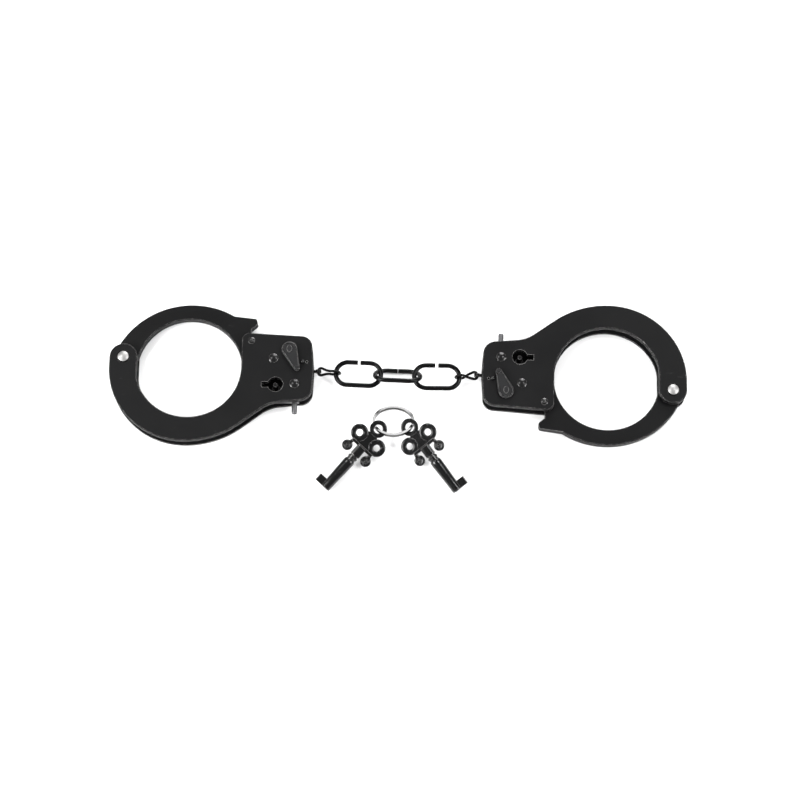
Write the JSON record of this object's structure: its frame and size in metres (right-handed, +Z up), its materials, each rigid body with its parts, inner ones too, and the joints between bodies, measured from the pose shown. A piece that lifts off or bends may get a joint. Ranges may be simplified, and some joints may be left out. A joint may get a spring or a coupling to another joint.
{
  "type": "handcuffs",
  "caption": "Pair of black single-arm ratchet handcuffs with release levers and double-lock pins, joined by swivels and a short chain, with barrel keys on a split ring.",
  "frame": {"origin": "on the table under the centre of the whole set's bounding box", "axes": "+X along the set from the left cuff to the right one, +Y away from the keys, +Z up out of the front plates"},
  "size_m": [0.2801, 0.095, 0.012],
  "materials": {
    "black_plate": "satin black",
    "black_jaw": "satin black with worn edges",
    "black_rivet": "semi-gloss black",
    "black_lever": "semi-gloss black",
    "black_chain": "semi-gloss black",
    "black_key": "semi-gloss black over cast metal",
    "bright_nickel": "bright nickel",
    "bright_ring": "bright nickel spring wire",
    "grey_slide": "dark plated steel",
    "plated_steel": "zinc-plated steel",
    "spring_steel": "blued spring steel"
  },
  "bodies": {
    "left_frame": {"left_rear_plate": "black_plate", "left_front_plate": "black_plate", "left_pivot_rivet": "bright_nickel", "left_pivot_washers": "bright_nickel", "left_body_rivets": "black_rivet", "left_lever_stop": "black_rivet", "left_end_block": "plated_steel", "left_key_post": "plated_steel", "left_spring_pin": "plated_steel", "left_pawl_spring": "spring_steel", "left_slide_spring": "spring_steel"},
    "left_jaw": {"left_jaw": "black_jaw"},
    "left_pawl": {"left_pawl": "plated_steel"},
    "left_lock_slide": {"left_lock_slide": "grey_slide"},
    "left_lever": {"left_release_lever": "black_lever", "left_lever_crank": "black_lever"},
    "left_swivel": {"left_swivel": "black_chain"},
    "left_connector": {"left_connector": "black_chain"},
    "right_frame": {"right_rear_plate": "black_plate", "right_front_plate": "black_plate", "right_pivot_rivet": "bright_nickel", "right_pivot_washers": "bright_nickel", "right_body_rivets": "black_rivet", "right_lever_stop": "black_rivet", "right_end_block": "plated_steel", "right_key_post": "plated_steel", "right_spring_pin": "plated_steel", "right_pawl_spring": "spring_steel", "right_slide_spring": "spring_steel"},
    "right_jaw": {"right_jaw": "black_jaw"},
    "right_pawl": {"right_pawl": "plated_steel"},
    "right_lock_slide": {"right_lock_slide": "grey_slide"},
    "right_lever": {"right_release_lever": "black_lever", "right_lever_crank": "black_lever"},
    "right_swivel": {"right_swivel": "black_chain"},
    "right_connector": {"right_connector": "black_chain"},
    "chain_link_1": {"chain_link_1": "black_chain"},
    "chain_link_2": {"chain_link_2": "black_chain"},
    "chain_link_3": {"chain_link_3": "black_chain"},
    "key_ring": {"key_ring": "bright_ring"},
    "left_key": {"left_key": "black_key"},
    "right_key": {"right_key": "black_key"}
  },
  "joints": [
    {"name": "left_jaw_hinge", "type": "hinge", "parent": "left_frame", "child": "left_jaw", "pos_m": [-0.13325, 0.0198, 0.004], "axis": [0, 0, 1], "range_deg": [0, 150]},
    {"name": "left_lever_hinge", "type": "hinge", "parent": "left_frame", "child": "left_lever", "pos_m": [-0.0525, 0.0231, 0.008], "axis": [0, 0, 1], "range_deg": [-22, 0], "stiffness_Nm_per_rad": 0.01, "springref_deg": 5.73, "deforming": ["left_pawl_spring"]},
    {"name": "left_pawl_hinge", "type": "hinge", "parent": "left_frame", "child": "left_pawl", "pos_m": [-0.0602, 0.0188, 0.004], "axis": [0, 0, 1], "range_deg": [0, 8]},
    {"name": "left_lock_slide_travel", "type": "slide", "parent": "left_frame", "child": "left_lock_slide", "axis": [0, 1, 0], "range_m": [0, 0.003], "deforming": ["left_slide_spring"]},
    {"name": "right_jaw_hinge", "type": "hinge", "parent": "right_frame", "child": "right_jaw", "pos_m": [0.13317, 0.0027, 0.004], "axis": [0, 0, 1], "range_deg": [0, 150]},
    {"name": "right_lever_hinge", "type": "hinge", "parent": "right_frame", "child": "right_lever", "pos_m": [0.05236, 0.00194, 0.008], "axis": [0, 0, 1], "range_deg": [-22, 0], "stiffness_Nm_per_rad": 0.01, "springref_deg": 5.73, "deforming": ["right_pawl_spring"]},
    {"name": "right_pawl_hinge", "type": "hinge", "parent": "right_frame", "child": "right_pawl", "pos_m": [0.06019, 0.006, 0.004], "axis": [0, 0, 1], "range_deg": [0, 8]},
    {"name": "right_lock_slide_travel", "type": "slide", "parent": "right_frame", "child": "right_lock_slide", "axis": [-0.0314, -0.9995, 0], "range_m": [0, 0.003], "deforming": ["right_slide_spring"]},
    {"name": "left_swivel_turn", "type": "hinge", "parent": "left_frame", "child": "left_swivel", "pos_m": [-0.0434, 0.0137, 0.0043], "axis": [1, 0, 0], "continuous": true},
    {"name": "left_connector_hinge", "type": "hinge", "parent": "left_swivel", "child": "left_connector", "pos_m": [-0.0385, 0.0137, 0.0043], "axis": [0, -1, 0], "range_deg": [-60, 60]},
    {"name": "chain_link_1_hinge", "type": "hinge", "parent": "left_connector", "child": "chain_link_1", "pos_m": [-0.03002, 0.01301, 0.00422], "axis": [0.0732, 0.9973, 0], "range_deg": [-45, 45]},
    {"name": "chain_link_2_hinge", "type": "hinge", "parent": "chain_link_1", "child": "chain_link_2", "pos_m": [-0.00809, 0.0114, 0.00564], "axis": [-0.0732, -0.9973, 0], "range_deg": [-30, 30]},
    {"name": "chain_link_3_hinge", "type": "hinge", "parent": "chain_link_2", "child": "chain_link_3", "pos_m": [0.00815, 0.01066, 0.00564], "axis": [-0.0087, 1, 0], "range_deg": [-30, 30]},
    {"name": "right_connector_hinge", "type": "hinge", "parent": "chain_link_3", "child": "right_connector", "pos_m": [0.03014, 0.01085, 0.00422], "axis": [0.0087, -1, 0], "range_deg": [-45, 45]},
    {"name": "right_swivel_hinge", "type": "hinge", "parent": "right_connector", "child": "right_swivel", "pos_m": [0.03866, 0.01178, 0.0043], "axis": [0.0314, 0.9995, 0], "range_deg": [-60, 60]},
    {"name": "right_swivel_turn", "type": "hinge", "parent": "right_swivel", "child": "right_frame", "pos_m": [0.04356, 0.01162, 0.0043], "axis": [-0.9995, 0.0314, 0], "continuous": true},
    {"name": "key_ring_lift", "type": "slide", "parent": "left_frame", "child": "key_ring", "axis": [0, 0, 1], "range_m": [0, 0.1]},
    {"name": "left_key_hinge", "type": "hinge", "parent": "key_ring", "child": "left_key", "pos_m": [-0.0095, -0.0172, 0.00801], "axis": [-0.6053, 0.7092, -0.3614], "range_deg": [0, 75]},
    {"name": "right_key_hinge", "type": "hinge", "parent": "key_ring", "child": "right_key", "pos_m": [0.00637, -0.01631, 0.00756], "axis": [-0.5004, -0.7714, 0.3931], "range_deg": [0, 75]}
  ],
  "couplings": [
    {"joint": "left_pawl_hinge", "follows": "left_lever_hinge", "ratio": -0.36},
    {"joint": "right_pawl_hinge", "follows": "right_lever_hinge", "ratio": -0.36}
  ]
}
